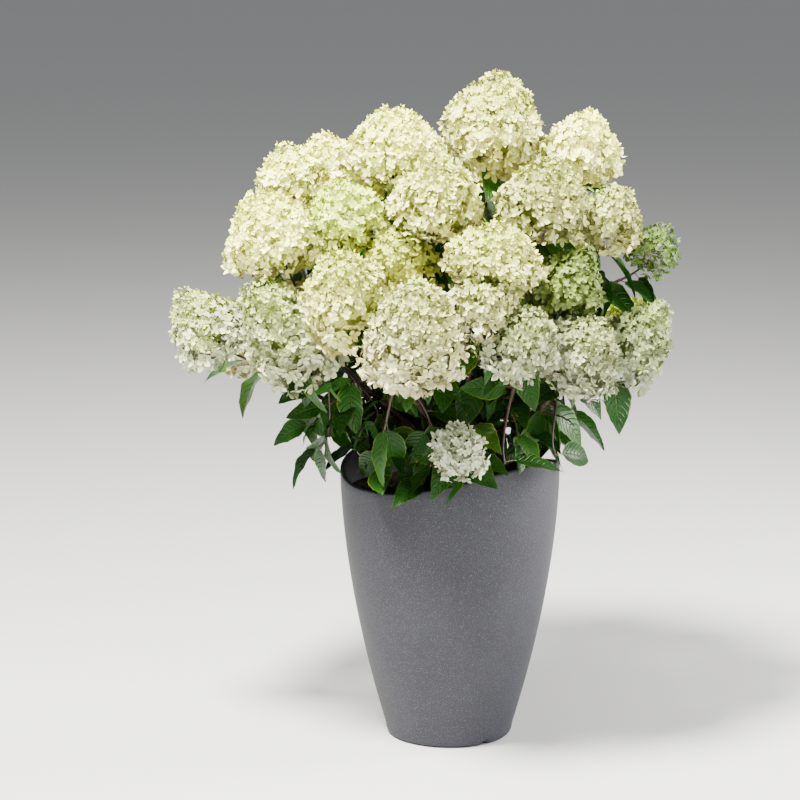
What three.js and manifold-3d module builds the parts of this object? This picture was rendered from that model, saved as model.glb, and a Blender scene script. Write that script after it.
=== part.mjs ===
// Panicle hydrangea shrub, growing in a tall tapered planter with a wavy rim.
// Millimetres, +Z up. The origin is the middle of the planter's flat underside, and the front faces -Y.
// Headings are degrees round the plant, seen from above, from +X toward +Y.
import * as THREE from "three";
import { mergeVertices } from "three/addons/utils/BufferGeometryUtils.js";
import Module from "manifold-3d";

const wasm = await Module();
wasm.setup();

const CLEARANCE = 0.3;
const JOIN_GRAIN = 0.01;
const FIRST_SEED = 1000;

// Planter
const POT_HEIGHT = 556;
const POT_RIM_RADIUS = 220;
const POT_FOOT_RADIUS = 118;
const POT_HEEL_RADIUS = 129;
const POT_HEEL_HEIGHT = 20;
const POT_SWELL = 1.75;
const POT_WALL = 9;
const POT_FLOOR = 14;
const POT_SIDES = 36;
const RIM_WAVE = 21;
const RIM_TILT = 7;
const SOIL_TOP = 500;
const WALL_RINGS = [80, 170, 280, 400, SOIL_TOP];
const SOIL_RINGS = [170, 400, SOIL_TOP];

// Stool: the short woody foot that every cane rises from
const STOOL_FLARE_RADIUS = 68;
const STOOL_RADIUS = 56;
const STOOL_HEIGHT = 42;
const STOOL_SIDES = 12;
const STUB_RADIUS = 6.8;
const STUB_ROOT_RADIUS = 9.2;
const STUB_HEIGHT = 84;
const STUB_LENGTH = 67;
const FOOT_RINGS = [
  { count: 4, radius: 14, lean: 6 },
  { count: 6, radius: 33, lean: 15 },
  { count: 8, radius: 52, lean: 26 },
];

// Canes and twigs
const CANE_RADIUS = 6.4;
const CANE_TIP_RADIUS = 4.4;
const CANE_SIDES = 5;
const CANE_STEPS = 5;
const CANE_BEND = 0.36;
const STEM_LENGTH = 55;
const STEM_RADIUS = 4.1;
const STEM_RISE = 0.25;
const STEM_END = 8;
const TWIG_RADIUS = 3.8;
const TWIG_TIP_RADIUS = 2.8;
const TWIG_STEPS = 5;
const HUB_SHARE = 0.8;
const FORK_STEP = 0.15;
const HEAD_FORK = 0.95;
const SHOOT_FORK = 0.5;

// Flower heads: cone-like, with clusters of florets standing out
const CROWN_MIDDLE = new THREE.Vector3(-45, 0, 880);
const HEAD_LEAN = 0.38;
const HEAD_TAPER = 0.55;
const HEAD_FULLNESS = 0.62;
const HEAD_SIDES = 10;
const HEAD_RINGS = [0.08, 0.3, 0.58, 0.84];
const HEAD_HOLLOW = 0.88;
const HEAD_FOOT = 0.4;
const HEAD_TWIG_DEPTH = 0.25;
const HEAD_SWELL = 1.1;
const HEAD_GAP = 2;
const FLORET_JITTER = 0.06;

// Leaves, in opposite pairs
const LEAF_LENGTH = 122;
const LEAF_WIDTH = 58;
const LEAF_BROADEST = 0.42;
const LEAF_THICKNESS = 2.6;
const LEAF_FOLD = 5;
const LEAF_DROOP = 12;
const LEAF_SINK = 1.4;
const LEAF_ROOM = 1.2;
const LEAF_FORWARD = 0.3;
const LEAF_OUTWARD = 0.55;
const LEAF_LEAST_PITCH = 0;
const LEAF_PITCH_SPREAD = 55;
const LEAF_FACE_UP = 0.6;
const LEAF_FACE_OUT = 0.7;
const LEAF_LEAST_SIZE = 0.85;
const LEAF_SIZE_SPREAD = 0.2;
const LEAF_ROLL = 0.7;
const PAIR_WANDER = 0.6;
const LEAF_REACH = new THREE.Vector3(500, 425, 465);
const HEAD_TWIG_PAIRS = [0.5];
const SHOOT_PAIRS = [0.32, 0.56, 0.78, 1];
const SHOOT_ENDS = [{ radius: 268, height: 606 }, { radius: 186, height: 664 }];
const SHOOT_SPREAD = 10;
const SHOOT_RISE = 0.35;
const SHOOT_FALL = -0.9;

const UP = new THREE.Vector3(0, 0, 1);

// A head is told by its heading and its climb above the level, both in degrees, its reach from the
// crown's middle, its width and its height.
function head(heading, climb, reach, across, tall) {
  return { heading, climb, reach, across, tall };
}

// Each spray is one mass: the flower heads of one cane, and the leafy shoots that droop from it.
const SPRAYS = [
  { name: "top", shoots: 0, heads: [head(-9, 70, 388, 208, 214)] },
  { name: "top_left", shoots: 0, heads: [head(-136, 72, 334, 186, 172)] },
  {
    name: "upper_left",
    shoots: 0,
    heads: [head(-173, 44, 376, 147, 138), head(-139, 42, 294, 166, 154), head(160, 53, 357, 118, 112)],
  },
  { name: "left_front", shoots: 2, heads: [head(-151, 25, 380, 206, 190), head(-145, -1, 344, 170, 286)] },
  { name: "far_left", shoots: 2, heads: [head(-172, -3.5, 449, 150, 172), head(158, -11, 396, 156, 150)] },
  { name: "upper_front", shoots: 0, heads: [head(-87, 46, 331, 180, 190), head(-104, 27, 256, 150, 136)] },
  { name: "upper_right", shoots: 0, heads: [head(0, 46, 440, 156, 148), head(-40, 39, 378, 172, 172)] },
  { name: "right", shoots: 0, heads: [head(-17, 27, 414, 130, 138), head(1, 14, 466, 112, 112)] },
  { name: "front", shoots: 0, heads: [head(-69, 21, 367, 190, 156), head(-73, 8, 354, 158, 160)] },
  { name: "front_left", shoots: 2, heads: [head(-118, 11, 332, 198, 190), head(-94, 2, 376, 204, 212)] },
  { name: "front_right", shoots: 2, heads: [head(-37, 12, 346, 148, 164), head(-63, -2, 385, 150, 152)] },
  { name: "right_front", shoots: 2, heads: [head(-40, -7.5, 386, 164, 154), head(-15, -7, 430, 142, 204)] },
  { name: "low_front", shoots: 2, heads: [head(-80, -34, 404, 106, 122)] },
  {
    name: "right_back",
    shoots: 2,
    heads: [head(30, -8, 398, 164, 168), head(40, 20, 388, 172, 164), head(5, -7, 418, 142, 150)],
  },
  { name: "back_right", shoots: 2, heads: [head(62, -8, 366, 172, 172), head(76, 22, 376, 170, 168)] },
  { name: "back_left", shoots: 2, heads: [head(100, -8, 354, 168, 166), head(114, 21, 366, 176, 168)] },
  { name: "left_back", shoots: 2, heads: [head(134, -7, 388, 166, 170), head(147, 22, 386, 168, 164)] },
  {
    name: "top_back",
    shoots: 0,
    heads: [head(48, 50, 372, 176, 172), head(103, 55, 356, 172, 170), head(104, 76, 268, 146, 140)],
  },
];

const bark = new THREE.MeshStandardMaterial({ color: 0x4a352a, roughness: 0.85, metalness: 0 });
const blossom = new THREE.MeshStandardMaterial({ color: 0xeeeecb, roughness: 0.8, metalness: 0 });
const potGrey = new THREE.MeshStandardMaterial({ color: 0x76767e, roughness: 0.75, metalness: 0 });
const compost = new THREE.MeshStandardMaterial({ color: 0x2c221b, roughness: 0.95, metalness: 0 });

function seededRandom(seed) {
  let state = seed;
  return () => {
    state = (state + 0x6d2b79f5) | 0;
    let mixed = Math.imul(state ^ (state >>> 15), 1 | state);
    mixed = (mixed + Math.imul(mixed ^ (mixed >>> 7), 61 | mixed)) ^ mixed;
    return ((mixed ^ (mixed >>> 14)) >>> 0) / 4294967296;
  };
}

function radians(degrees) {
  return THREE.MathUtils.degToRad(degrees);
}

// A point told by its heading in radians, its distance from the axis and its height.
function polar(heading, radius, height) {
  return new THREE.Vector3(radius * Math.cos(heading), radius * Math.sin(heading), height);
}

// Joins the doubled corners of a closed shape. It drops the faces that close up to nothing by that,
// and each pair of faces that then lie back to back.
function weld(geometry) {
  const bare = geometry.clone();
  bare.deleteAttribute("normal");
  bare.deleteAttribute("uv");
  const merged = mergeVertices(bare, 1e-4);
  const corners = Array.from(merged.index.array);
  const faces = new Map();
  for (let i = 0; i < corners.length; i += 3) {
    const face = corners.slice(i, i + 3);
    const key = [...face].sort((a, b) => a - b).join();
    if (new Set(face).size === 3 && !faces.delete(key)) {
      faces.set(key, face);
    }
  }
  merged.setIndex([...faces.values()].flat());
  return merged;
}

function toSolid(geometry) {
  const welded = weld(geometry);
  const vertProperties = new Float32Array(welded.attributes.position.array);
  const triVerts = new Uint32Array(welded.index.array);
  return new wasm.Manifold(new wasm.Mesh({ numProp: 3, vertProperties, triVerts }));
}

function toGeometry(solid) {
  const mesh = solid.getMesh();
  const geometry = new THREE.BufferGeometry();
  const snapped = mesh.vertProperties.map((value) => Math.round(value / JOIN_GRAIN) * JOIN_GRAIN);
  geometry.setAttribute("position", new THREE.BufferAttribute(snapped, 3));
  geometry.setIndex(new THREE.BufferAttribute(mesh.triVerts, 1));
  const tidy = weld(geometry);
  tidy.computeVertexNormals();
  return tidy;
}

// Joins solids into one, fills a hollow that joining seals, and drops a loose scrap.
function fuse(solids) {
  const joined = solids.reduce((whole, piece) => whole.add(piece));
  const bodies = joined.decompose();
  return bodies.reduce((largest, body) => (body.volume() > largest.volume() ? body : largest));
}

// Turns a shape so that its +Z runs along a direction, after a turn about +Z, and moves it to a place.
function stand(geometry, place, direction, turn = 0) {
  const aim = new THREE.Quaternion().setFromUnitVectors(UP, direction);
  const spin = new THREE.Quaternion().setFromAxisAngle(UP, turn);
  geometry.applyQuaternion(aim.multiply(spin));
  return geometry.translate(place.x, place.y, place.z);
}

// A closed tapering limb along a curve, as a capped cylinder whose rings follow the curve.
function limb(curve, rootRadius, tipRadius, sides, steps) {
  const geometry = new THREE.CylinderGeometry(tipRadius, rootRadius, 1, sides, steps);
  const frames = curve.computeFrenetFrames(steps);
  const position = geometry.attributes.position;
  for (let i = 0; i < position.count; i += 1) {
    const ring = Math.round((position.getY(i) + 0.5) * steps);
    const point = curve.getPointAt(ring / steps);
    point.addScaledVector(frames.binormals[ring], position.getX(i));
    point.addScaledVector(frames.normals[ring], position.getZ(i));
    position.setXYZ(i, point.x, point.y, point.z);
  }
  return geometry;
}

// A curve that leaves one point along a direction and reaches another along a second direction.
function sweep(start, startDirection, end, endDirection) {
  const handle = start.distanceTo(end) * CANE_BEND;
  const afterStart = start.clone().addScaledVector(startDirection, handle);
  const beforeEnd = end.clone().addScaledVector(endDirection, -handle);
  return new THREE.CubicBezierCurve3(start, afterStart, beforeEnd, end);
}

// Planter and soil
function wallRadius(height) {
  const below = (POT_HEIGHT - height) / (POT_HEIGHT - POT_HEEL_HEIGHT);
  return POT_RIM_RADIUS - (POT_RIM_RADIUS - POT_HEEL_RADIUS) * below ** POT_SWELL;
}

function rimLift(heading) {
  return RIM_TILT * Math.cos(heading) - RIM_WAVE * Math.sin(2 * heading);
}

function lathe(points, sides) {
  const profile = points.map(([radius, height]) => new THREE.Vector2(radius, height));
  return new THREE.LatheGeometry(profile, sides).rotateX(Math.PI / 2);
}

function planterGeometry() {
  const wall = WALL_RINGS.map((height) => [wallRadius(height), height]);
  const lining = WALL_RINGS.map((height) => [wallRadius(height) - POT_WALL, height]).reverse();
  const lip = POT_RIM_RADIUS - POT_WALL / 2;
  const geometry = lathe([
    [0, 0],
    [POT_FOOT_RADIUS, 0],
    [POT_HEEL_RADIUS - 4, 5],
    [POT_HEEL_RADIUS, POT_HEEL_HEIGHT],
    ...wall,
    [POT_RIM_RADIUS, POT_HEIGHT - 4],
    [lip, POT_HEIGHT],
    [POT_RIM_RADIUS - POT_WALL, POT_HEIGHT - 4],
    ...lining,
    [wallRadius(POT_HEEL_HEIGHT) - POT_WALL, POT_FLOOR],
    [0, POT_FLOOR],
  ], POT_SIDES);
  const position = geometry.attributes.position;
  for (let i = 0; i < position.count; i += 1) {
    const share = Math.max(0, (position.getZ(i) - SOIL_TOP) / (POT_HEIGHT - SOIL_TOP));
    const heading = Math.atan2(position.getY(i), position.getX(i));
    position.setZ(i, position.getZ(i) + share * rimLift(heading));
  }
  return geometry;
}

function soilGeometry() {
  const gap = POT_WALL + CLEARANCE;
  const side = SOIL_RINGS.map((height) => [wallRadius(height) - gap, height]);
  return lathe([
    [0, POT_FLOOR + CLEARANCE],
    [wallRadius(POT_HEEL_HEIGHT) - gap, POT_FLOOR + CLEARANCE],
    ...side,
    [0, SOIL_TOP],
  ], POT_SIDES / 2);
}

// Flower heads
function headMiddle(spec) {
  const climb = radians(spec.climb);
  const flat = polar(radians(spec.heading), spec.reach * Math.cos(climb), spec.reach * Math.sin(climb));
  return flat.add(CROWN_MIDDLE);
}

function headAxis(spec) {
  const lean = radians((90 - spec.climb) * HEAD_LEAN);
  return polar(radians(spec.heading), Math.sin(lean), Math.cos(lean));
}

function headRadius(spec, share) {
  return (spec.across / 2) * Math.sin(Math.PI * share ** HEAD_TAPER) ** HEAD_FULLNESS;
}

// How far a head reaches from its middle in a direction, taken as an egg of its width and height.
function headReach(spec, direction) {
  const along = direction.dot(headAxis(spec));
  return 1 / (2 * Math.sqrt((along / spec.tall) ** 2 + (1 - along ** 2) / spec.across ** 2));
}

// Draws a point back toward its own head's middle where it would cross the plane that parts two heads.
function keepOwnSide(point, spec, rivals) {
  const middle = headMiddle(spec);
  for (const rival of rivals) {
    const toward = headMiddle(rival).sub(middle);
    const distance = toward.length();
    const direction = toward.clone().divideScalar(distance);
    const own = headReach(spec, direction);
    const limit = (distance * own) / (own + headReach(rival, direction)) - HEAD_GAP;
    const along = point.clone().sub(middle).dot(toward) / distance;
    if (along > limit) {
      point.lerpVectors(middle, point, limit / along);
    }
  }
  return point;
}

// Every second corner of the head stands out as a cluster of florets, and those between lie deeper.
function headGeometry(spec, random, rivals) {
  const rings = HEAD_RINGS.map((share) => [headRadius(spec, share), (share - 0.5) * spec.tall]);
  const geometry = weld(lathe([[0, -spec.tall * HEAD_FOOT], ...rings, [0, spec.tall / 2]], HEAD_SIDES));
  const position = geometry.attributes.position;
  for (let i = 0; i < position.count; i += 1) {
    const corner = new THREE.Vector3().fromBufferAttribute(position, i);
    const ring = HEAD_RINGS.findIndex((share) => Math.abs((share - 0.5) * spec.tall - corner.z) < 0.01);
    if (ring >= 0) {
      const side = Math.round((Math.atan2(corner.y, corner.x) / (2 * Math.PI)) * HEAD_SIDES);
      const depth = (ring + side) % 2 === 0 ? 1 : HEAD_HOLLOW;
      const swell = HEAD_SWELL * depth * (1 - random() * FLORET_JITTER);
      position.setXYZ(i, corner.x * swell, corner.y * swell, corner.z);
    }
  }
  stand(geometry, headMiddle(spec), headAxis(spec), random() * Math.PI);
  for (let i = 0; i < position.count; i += 1) {
    const corner = keepOwnSide(new THREE.Vector3().fromBufferAttribute(position, i), spec, rivals);
    position.setXYZ(i, corner.x, corner.y, corner.z);
  }
  return geometry;
}

// A leaf of eight faces, folded up a little along its midrib, with its root at the origin.
function leafGeometry(length, width, room) {
  const geometry = new THREE.OctahedronGeometry(1, 0);
  const position = geometry.attributes.position;
  for (let i = 0; i < position.count; i += 1) {
    const along = position.getX(i);
    const across = position.getY(i);
    const upward = position.getZ(i);
    const belly = along < -0.5 ? 0 : length * LEAF_BROADEST;
    const x = along > 0.5 ? length + room : belly;
    const z = upward * (LEAF_THICKNESS / 2 + room) + Math.abs(across) * LEAF_FOLD;
    position.setXYZ(i, x, across * (width / 2 + room), along > 0.5 ? z - LEAF_DROOP : z);
  }
  return geometry;
}

// A leaf turns its face up and away from the plant's middle line.
function placeLeaf(geometry, root, direction, roll) {
  const lit = new THREE.Vector3(root.x, root.y, 0).setLength(LEAF_FACE_OUT);
  lit.addScaledVector(UP, LEAF_FACE_UP).applyAxisAngle(direction, roll);
  const side = new THREE.Vector3().crossVectors(lit, direction).normalize();
  const face = new THREE.Vector3().crossVectors(direction, side);
  const basis = new THREE.Matrix4().makeBasis(direction, side, face);
  return geometry.applyMatrix4(basis.setPosition(root));
}

// The hub is where a spray's stem forks: part of the way from the stool to the bases of its heads.
function layOutSpray(spray, index) {
  const bases = spray.heads.map((spec) => headMiddle(spec).addScaledVector(headAxis(spec), -spec.tall / 2));
  const mean = bases.reduce((sum, base) => sum.add(base), new THREE.Vector3()).divideScalar(bases.length);
  const crownFoot = new THREE.Vector3(0, 0, SOIL_TOP + STUB_HEIGHT);
  const hub = crownFoot.clone().lerp(mean, HUB_SHARE);
  const rise = hub.clone().sub(crownFoot).normalize();
  const direction = rise.clone().addScaledVector(UP, STEM_RISE).normalize();
  const start = hub.clone().addScaledVector(direction, -STEM_LENGTH);
  const heading = Math.atan2(hub.y, hub.x);
  return { ...spray, index, bases, hub, start, direction, heading, steepness: rise.z };
}

// The steepest sprays stand on the stool's inner ring of feet and the flattest on its outer ring.
function assignFeet(sprays) {
  const bySteepness = [...sprays].sort((a, b) => b.steepness - a.steepness);
  for (const ring of FOOT_RINGS) {
    const group = bySteepness.splice(0, ring.count).sort((a, b) => a.heading - b.heading);
    const step = (2 * Math.PI) / group.length;
    const drift = group.reduce((sum, spray, i) => sum + spray.heading - i * step, 0) / group.length;
    group.forEach((spray, i) => {
      const heading = drift + i * step;
      spray.foot = polar(heading, ring.radius, SOIL_TOP + STUB_HEIGHT);
      spray.footDirection = polar(heading, Math.sin(radians(ring.lean)), Math.cos(radians(ring.lean)));
    });
  }
}

function stoolSolid(sprays) {
  const base = SOIL_TOP + CLEARANCE;
  const body = lathe([
    [0, base],
    [STOOL_FLARE_RADIUS, base],
    [STOOL_RADIUS, base + STOOL_HEIGHT / 2],
    [STOOL_RADIUS / 2, base + STOOL_HEIGHT],
    [0, base + STOOL_HEIGHT],
  ], STOOL_SIDES);
  const stubs = sprays.map((spray) => {
    const root = spray.foot.clone().addScaledVector(spray.footDirection, -STUB_LENGTH);
    const line = new THREE.LineCurve3(root, spray.foot);
    return toSolid(limb(line, STUB_ROOT_RADIUS, STUB_RADIUS, CANE_SIDES, 1));
  });
  return fuse([toSolid(body), ...stubs]);
}

function caneGeometry(spray) {
  const root = spray.foot.clone().addScaledVector(spray.footDirection, CLEARANCE);
  const curve = sweep(root, spray.footDirection, spray.start, spray.direction);
  return limb(curve, CANE_RADIUS, CANE_TIP_RADIUS, CANE_SIDES, CANE_STEPS);
}

// The stem, the twigs to the heads and the drooping shoots of one spray.
function layOutTwigs(spray) {
  const stemStart = spray.start.clone().addScaledVector(spray.direction, CLEARANCE);
  const stemEnd = spray.hub.clone().addScaledVector(spray.direction, STEM_END);
  const stem = new THREE.LineCurve3(stemStart, stemEnd);
  const twigs = spray.heads.map((spec, i) => {
    const root = spray.start.clone().lerp(spray.hub, HEAD_FORK - i * FORK_STEP);
    const end = spray.bases[i].clone().addScaledVector(headAxis(spec), spec.tall * HEAD_TWIG_DEPTH);
    const outward = end.clone().sub(root).normalize().add(spray.direction).normalize();
    return { curve: sweep(root, outward, end, headAxis(spec)), pairs: HEAD_TWIG_PAIRS };
  });
  for (let i = 0; i < spray.shoots; i += 1) {
    const heading = spray.heading + radians((i - (spray.shoots - 1) / 2) * 2 * SHOOT_SPREAD);
    const shootEnd = SHOOT_ENDS[i % SHOOT_ENDS.length];
    const end = polar(heading, shootEnd.radius, shootEnd.height);
    const outward = polar(heading, 1, SHOOT_RISE).normalize();
    const droop = polar(heading, 1, SHOOT_FALL).normalize();
    const root = spray.start.clone().lerp(spray.hub, SHOOT_FORK - i * FORK_STEP);
    const curve = sweep(root, outward, end, droop);
    twigs.push({ curve, pairs: SHOOT_PAIRS });
  }
  return { stem, twigs };
}

// Solids already standing, with the node that each one belongs to, for the test of free room.
const standing = [];

function claim(node, solid) {
  standing.push({ node, solid, box: solid.boundingBox() });
  return solid;
}

function boxesMeet(a, b) {
  return [0, 1, 2].every((axis) => a.min[axis] <= b.max[axis] && b.min[axis] <= a.max[axis]);
}

function hasRoom(node, solid) {
  const box = solid.boundingBox();
  const near = standing.filter((other) => other.node !== node && boxesMeet(other.box, box));
  return near.every((other) => other.solid.intersect(solid).isEmpty());
}

function insideCrown(point) {
  return point.clone().sub(CROWN_MIDDLE).divide(LEAF_REACH).length() <= 1;
}

function growLeaves(spray, node, twigs, random) {
  const leaves = [];
  for (const { curve, pairs } of twigs) {
    pairs.forEach((share, pairIndex) => {
      const point = curve.getPointAt(Math.min(share, 0.97));
      const along = curve.getTangentAt(share);
      const level = new THREE.Vector3().crossVectors(along, UP).normalize();
      const turn = pairIndex * (Math.PI / 2) + (random() - 0.5) * PAIR_WANDER;
      const away = new THREE.Vector3(point.x, point.y, 0).setLength(LEAF_OUTWARD);
      for (const sign of [1, -1]) {
        const outward = level.clone().applyAxisAngle(along, turn).multiplyScalar(sign);
        outward.addScaledVector(along, LEAF_FORWARD).add(away);
        const pitch = radians(LEAF_LEAST_PITCH + random() * LEAF_PITCH_SPREAD);
        const direction = polar(Math.atan2(outward.y, outward.x), Math.cos(pitch), -Math.sin(pitch));
        const size = LEAF_LEAST_SIZE + random() * LEAF_SIZE_SPREAD;
        const roll = (random() - 0.5) * LEAF_ROLL;
        const root = point.clone().addScaledVector(direction, -LEAF_SINK);
        const shape = (room) => placeLeaf(
          leafGeometry(LEAF_LENGTH * size, LEAF_WIDTH * size, room), root, direction, roll,
        );
        const tip = root.clone().addScaledVector(direction, LEAF_LENGTH * size);
        if (insideCrown(tip) && hasRoom(node, toSolid(shape(LEAF_ROOM)))) {
          leaves.push(claim(node, toSolid(shape(0))));
        }
      }
    });
  }
  return leaves;
}

function addMesh(group, name, geometry, material) {
  const mesh = new THREE.Mesh(geometry, material);
  mesh.name = name;
  group.add(mesh);
}

const group = new THREE.Group();
const sprays = SPRAYS.map(layOutSpray);
assignFeet(sprays);

const planter = claim("planter", toSolid(planterGeometry()));
addMesh(group, "planter", toGeometry(planter), potGrey);
addMesh(group, "soil", weld(soilGeometry()), compost);
const stool = claim("trunk", stoolSolid(sprays));
addMesh(group, "trunk", toGeometry(stool), bark);

for (const spray of sprays) {
  const cane = claim(`bough_${spray.name}`, toSolid(caneGeometry(spray)));
  addMesh(group, `bough_${spray.name}`, toGeometry(cane), bark);
}

const growing = sprays.map((spray) => {
  const node = `mass_${spray.name}`;
  const random = seededRandom(FIRST_SEED + spray.index);
  const { stem, twigs } = layOutTwigs(spray);
  const solids = [claim(node, toSolid(limb(stem, STEM_RADIUS, TWIG_RADIUS, 3, 1)))];
  for (const { curve } of twigs) {
    solids.push(claim(node, toSolid(limb(curve, TWIG_RADIUS, TWIG_TIP_RADIUS, 3, TWIG_STEPS))));
  }
  const rivals = sprays.filter((other) => other !== spray).flatMap((other) => other.heads);
  for (const spec of spray.heads) {
    solids.push(claim(node, toSolid(headGeometry(spec, random, rivals))));
  }
  return { spray, node, random, twigs, solids };
});

for (const { spray, node, random, twigs, solids } of growing) {
  solids.push(...growLeaves(spray, node, twigs, random));
}
for (const { node, solids } of growing) {
  addMesh(group, node, toGeometry(fuse(solids)), blossom);
}

export default group;
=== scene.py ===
# Panicle hydrangea in a tall tapered planter: florets, leaves, barked canes and a speckled wall.
# The stems are laid out by the same rule as the frame's solids and carried on to finer twigs.
# Lengths are in millimetres until a mesh is made, and headings are degrees round the plant from +X.
import math
import random

import bpy
from mathutils import Matrix, Quaternion, Vector, noise


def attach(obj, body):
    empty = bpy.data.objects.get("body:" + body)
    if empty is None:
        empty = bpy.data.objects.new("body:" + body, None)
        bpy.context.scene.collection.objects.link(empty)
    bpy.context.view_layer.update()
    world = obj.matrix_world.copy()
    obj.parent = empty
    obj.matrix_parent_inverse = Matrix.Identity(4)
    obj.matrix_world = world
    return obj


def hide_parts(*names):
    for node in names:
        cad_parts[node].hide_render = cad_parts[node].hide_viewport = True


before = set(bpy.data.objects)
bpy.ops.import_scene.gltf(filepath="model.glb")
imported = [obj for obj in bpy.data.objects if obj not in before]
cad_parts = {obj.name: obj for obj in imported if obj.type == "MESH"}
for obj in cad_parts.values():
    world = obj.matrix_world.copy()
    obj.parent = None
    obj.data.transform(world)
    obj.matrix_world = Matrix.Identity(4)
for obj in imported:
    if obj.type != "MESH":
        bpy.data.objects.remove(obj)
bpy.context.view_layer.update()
print("frame loaded,", len(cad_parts), "nodes")

up = Vector((0, 0, 1))
metre = 0.001

# Camera: the photo's own place, a little above the plant
view = {"place": (-0.10, -5.10, 1.624), "target": (-0.10, 0.0, 0.684), "lens": 117.0, "sensor": 36.0}


def turnToward(place, target):
    return (Vector(target) - Vector(place)).to_track_quat("-Z", "Y").to_euler()


def addCamera():
    camera = bpy.data.objects.new("camera", bpy.data.cameras.new("camera"))
    camera.data.lens = view["lens"]
    camera.data.sensor_width = view["sensor"]
    camera.location = view["place"]
    camera.rotation_euler = turnToward(view["place"], view["target"])
    bpy.context.collection.objects.link(camera)
    bpy.context.scene.camera = camera


lights = [
    {"name": "key", "place": (-1.1, -1.4, 4.1), "size": 1.0, "power": 1340, "color": (1.0, 0.98, 0.92)},
    {"name": "fill", "place": (2.4, -2.7, 2.4), "size": 2.4, "power": 112, "color": (0.97, 0.98, 1.0)},
    {"name": "rim", "place": (2.9, 0.6, 1.5), "size": 1.3, "power": 240, "color": (1.0, 0.98, 0.95)},
]
lightTarget = (0, 0, 0.8)
world = {"color": (0.9, 0.92, 0.95), "strength": 0.4}


def addLights():
    for spec in lights:
        lamp = bpy.data.lights.new(spec["name"], "AREA")
        lamp.shape = "DISK"
        lamp.size = spec["size"]
        lamp.energy = spec["power"]
        lamp.color = spec["color"]
        holder = bpy.data.objects.new(spec["name"], lamp)
        holder.location = spec["place"]
        holder.rotation_euler = turnToward(spec["place"], lightTarget)
        bpy.context.collection.objects.link(holder)
    sky = bpy.data.worlds.new("studio")
    sky.use_nodes = True
    background = sky.node_tree.nodes["Background"]
    background.inputs["Color"].default_value = (*world["color"], 1)
    background.inputs["Strength"].default_value = world["strength"]
    bpy.context.scene.world = sky


# Small helpers for node trees: a socket is linked to another node's output, or takes a plain value
def feed(tree, socket, value):
    if isinstance(value, bpy.types.NodeSocket):
        tree.links.new(value, socket)
    elif socket.type == "RGBA":
        socket.default_value = (*value, 1)
    else:
        socket.default_value = value


def newNode(tree, kind, inputs=None, **settings):
    made = tree.nodes.new(kind)
    for key, value in settings.items():
        setattr(made, key, value)
    for name, value in (inputs or {}).items():
        feed(tree, made.inputs[name], value)
    return made


def mathNode(tree, operation, first, second=None):
    made = newNode(tree, "ShaderNodeMath", operation=operation)
    feed(tree, made.inputs[0], first)
    if second is not None:
        feed(tree, made.inputs[1], second)
    return made.outputs[0]


def rangeNode(tree, value, fromMin=0.0, fromMax=1.0, toMin=0.0, toMax=1.0):
    inputs = {"Value": value, "From Min": fromMin, "From Max": fromMax, "To Min": toMin, "To Max": toMax}
    return newNode(tree, "ShaderNodeMapRange", inputs, clamp=True).outputs["Result"]


def mixNode(tree, factor, first, second):
    inputs = {"Factor": factor, "A": first, "B": second}
    return newNode(tree, "ShaderNodeMix", inputs, data_type="RGBA").outputs["Result"]


def splitUv(tree):
    place = newNode(tree, "ShaderNodeUVMap", uv_map="UVMap")
    return newNode(tree, "ShaderNodeSeparateXYZ", {"Vector": place.outputs["UV"]}).outputs


def meshValue(tree, name):
    return newNode(tree, "ShaderNodeAttribute", attribute_name=name).outputs["Fac"]


def addSocket(tree, name, direction, kind, value=None):
    socket = tree.interface.new_socket(name=name, in_out=direction, socket_type=kind)
    if value is not None:
        socket.default_value = value


def newMaterial(name, roughness, specular=0.5):
    material = bpy.data.materials.new(name)
    material.use_nodes = True
    surface = material.node_tree.nodes["Principled BSDF"]
    surface.inputs["Roughness"].default_value = roughness
    surface.inputs["Specular IOR Level"].default_value = specular
    return material, material.node_tree, surface


# Meshes
def makeMesh(name, corners, faces, uvs=None):
    mesh = bpy.data.meshes.new(name)
    mesh.from_pydata([tuple(c * metre for c in corner) for corner in corners], [], faces)
    if uvs:
        layer = mesh.uv_layers.new(name="UVMap")
        for loop in mesh.loops:
            layer.data[loop.index].uv = uvs[loop.vertex_index]
    mesh.shade_smooth()
    mesh.update()
    return mesh


# faces over rings of corners, with a cap at each end
def ringFaces(base, rings, sides):
    faces = []
    for i in range(rings - 1):
        for k in range(sides):
            a = base + i * sides + k
            b = base + i * sides + (k + 1) % sides
            faces.append((a, b, b + sides, a + sides))
    last = base + (rings - 1) * sides
    faces.append(tuple(base + k for k in reversed(range(sides))))
    faces.append(tuple(last + k for k in range(sides)))
    return faces


def addPiece(name, mesh, material, nodes):
    piece = bpy.data.objects.new(name, mesh)
    bpy.context.collection.objects.link(piece)
    mesh.materials.clear()
    mesh.materials.append(material)
    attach(piece, "root")
    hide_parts(*nodes)


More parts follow.
